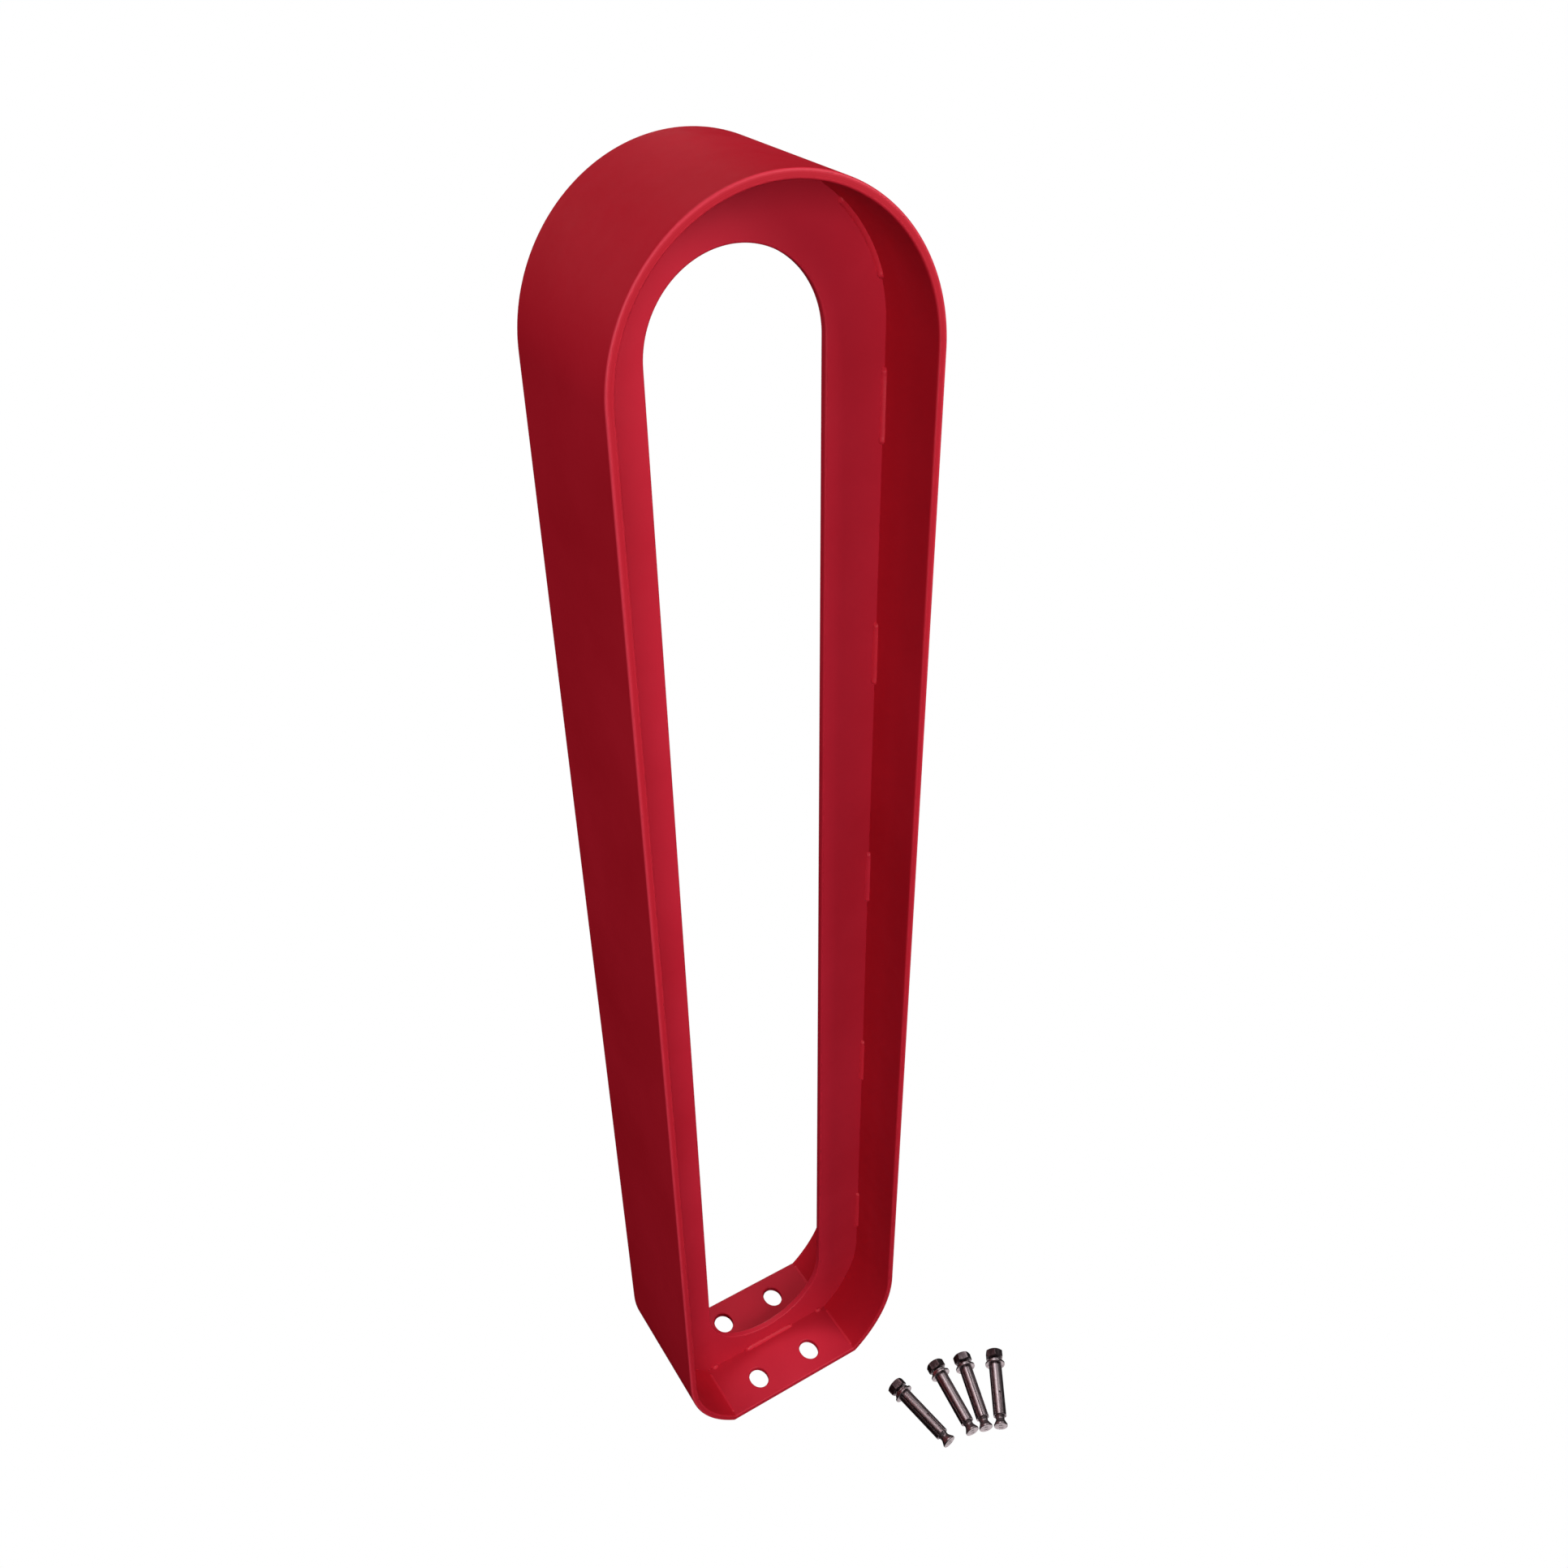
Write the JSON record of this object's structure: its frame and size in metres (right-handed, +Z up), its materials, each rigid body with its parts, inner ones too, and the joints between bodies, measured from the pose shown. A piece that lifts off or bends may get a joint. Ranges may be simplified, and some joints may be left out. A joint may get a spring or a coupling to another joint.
{
  "type": "bicycle parking hoop",
  "caption": "Tall narrow racetrack hoop of bent flat bar with a ring-shaped web and a flat slotted foot, bolted to the floor with sleeve anchors.",
  "frame": {"origin": "centre of the slot pattern, on the underside of the foot", "axes": "+Z up, X across the hoop's width, -Y towards the front"},
  "size_m": [0.251, 0.2251, 0.9299],
  "materials": {
    "powder_coat": "satin",
    "coated_weld": "satin",
    "stud_steel": "satin",
    "sleeve_steel": "satin",
    "washer_steel": "satin",
    "nut_steel": "satin"
  },
  "bodies": {
    "rack": {"hoop_band": "powder_coat", "foot_plate": "powder_coat", "web_plate": "powder_coat", "web_weld_front": "coated_weld", "web_weld_back": "coated_weld", "seam_weld_left": "coated_weld", "seam_weld_right": "coated_weld"},
    "anchor_1_stud": {"anchor_1_stud": "stud_steel"},
    "anchor_1_sleeve": {"anchor_1_sleeve": "sleeve_steel"},
    "anchor_1_washers": {"anchor_1_flat_washer": "washer_steel", "anchor_1_spring_washer": "washer_steel"},
    "anchor_1_nut": {"anchor_1_nut": "nut_steel"},
    "anchor_2_stud": {"anchor_2_stud": "stud_steel"},
    "anchor_2_sleeve": {"anchor_2_sleeve": "sleeve_steel"},
    "anchor_2_washers": {"anchor_2_flat_washer": "washer_steel", "anchor_2_spring_washer": "washer_steel"},
    "anchor_2_nut": {"anchor_2_nut": "nut_steel"},
    "anchor_3_stud": {"anchor_3_stud": "stud_steel"},
    "anchor_3_sleeve": {"anchor_3_sleeve": "sleeve_steel"},
    "anchor_3_washers": {"anchor_3_flat_washer": "washer_steel", "anchor_3_spring_washer": "washer_steel"},
    "anchor_3_nut": {"anchor_3_nut": "nut_steel"},
    "anchor_4_stud": {"anchor_4_stud": "stud_steel"},
    "anchor_4_sleeve": {"anchor_4_sleeve": "sleeve_steel"},
    "anchor_4_washers": {"anchor_4_flat_washer": "washer_steel", "anchor_4_spring_washer": "washer_steel"},
    "anchor_4_nut": {"anchor_4_nut": "nut_steel"}
  },
  "joints": [
    {"name": "anchor_1_lift", "type": "slide", "parent": "rack", "child": "anchor_1_stud", "axis": [0, 0, 1], "range_m": [0, 0.12]},
    {"name": "anchor_1_washer_travel", "type": "slide", "parent": "anchor_1_stud", "child": "anchor_1_washers", "axis": [0.1528, -0.9871, -0.0474], "range_m": [0, 0.003]},
    {"name": "anchor_1_nut_turn", "type": "hinge", "parent": "anchor_1_washers", "child": "anchor_1_nut", "pos_m": [0.06574, -0.10034, 0.0084], "axis": [0.1528, -0.9871, -0.0474], "range_deg": [0, 864]},
    {"name": "anchor_1_sleeve_travel", "type": "slide", "parent": "anchor_1_stud", "child": "anchor_1_sleeve", "axis": [0.1528, -0.9871, -0.0474], "range_m": [0, 0.003]},
    {"name": "anchor_2_lift", "type": "slide", "parent": "rack", "child": "anchor_2_stud", "axis": [0, 0, 1], "range_m": [0, 0.12]},
    {"name": "anchor_2_washer_travel", "type": "slide", "parent": "anchor_2_stud", "child": "anchor_2_washers", "axis": [-0.1183, -0.9919, -0.0474], "range_m": [0, 0.003]},
    {"name": "anchor_2_nut_turn", "type": "hinge", "parent": "anchor_2_washers", "child": "anchor_2_nut", "pos_m": [0.10314, -0.10275, 0.0084], "axis": [-0.1183, -0.9919, -0.0474], "range_deg": [0, 864]},
    {"name": "anchor_2_sleeve_travel", "type": "slide", "parent": "anchor_2_stud", "child": "anchor_2_sleeve", "axis": [-0.1183, -0.9919, -0.0474], "range_m": [0, 0.003]},
    {"name": "anchor_3_lift", "type": "slide", "parent": "rack", "child": "anchor_3_stud", "axis": [0, 0, 1], "range_m": [0, 0.12]},
    {"name": "anchor_3_washer_travel", "type": "slide", "parent": "anchor_3_stud", "child": "anchor_3_washers", "axis": [-0.312, -0.9489, -0.0474], "range_m": [0, 0.003]},
    {"name": "anchor_3_nut_turn", "type": "hinge", "parent": "anchor_3_washers", "child": "anchor_3_nut", "pos_m": [0.12581, -0.10898, 0.0084], "axis": [-0.312, -0.9489, -0.0474], "range_deg": [0, 864]},
    {"name": "anchor_3_sleeve_travel", "type": "slide", "parent": "anchor_3_stud", "child": "anchor_3_sleeve", "axis": [-0.312, -0.9489, -0.0474], "range_m": [0, 0.003]},
    {"name": "anchor_4_lift", "type": "slide", "parent": "rack", "child": "anchor_4_stud", "axis": [0, 0, 1], "range_m": [0, 0.12]},
    {"name": "anchor_4_washer_travel", "type": "slide", "parent": "anchor_4_stud", "child": "anchor_4_washers", "axis": [-0.5338, -0.8443, -0.0474], "range_m": [0, 0.003]},
    {"name": "anchor_4_nut_turn", "type": "hinge", "parent": "anchor_4_washers", "child": "anchor_4_nut", "pos_m": [0.15029, -0.12049, 0.0084], "axis": [-0.5338, -0.8443, -0.0474], "range_deg": [0, 864]},
    {"name": "anchor_4_sleeve_travel", "type": "slide", "parent": "anchor_4_stud", "child": "anchor_4_sleeve", "axis": [-0.5338, -0.8443, -0.0474], "range_m": [0, 0.003]}
  ],
  "couplings": [
    {"joint": "anchor_1_washer_travel", "follows": "anchor_1_nut_turn", "m_per_rad": 0.00019894},
    {"joint": "anchor_1_sleeve_travel", "follows": "anchor_1_nut_turn", "m_per_rad": 0.00019894},
    {"joint": "anchor_2_washer_travel", "follows": "anchor_2_nut_turn", "m_per_rad": 0.00019894},
    {"joint": "anchor_2_sleeve_travel", "follows": "anchor_2_nut_turn", "m_per_rad": 0.00019894},
    {"joint": "anchor_3_washer_travel", "follows": "anchor_3_nut_turn", "m_per_rad": 0.00019894},
    {"joint": "anchor_3_sleeve_travel", "follows": "anchor_3_nut_turn", "m_per_rad": 0.00019894},
    {"joint": "anchor_4_washer_travel", "follows": "anchor_4_nut_turn", "m_per_rad": 0.00019894},
    {"joint": "anchor_4_sleeve_travel", "follows": "anchor_4_nut_turn", "m_per_rad": 0.00019894}
  ]
}
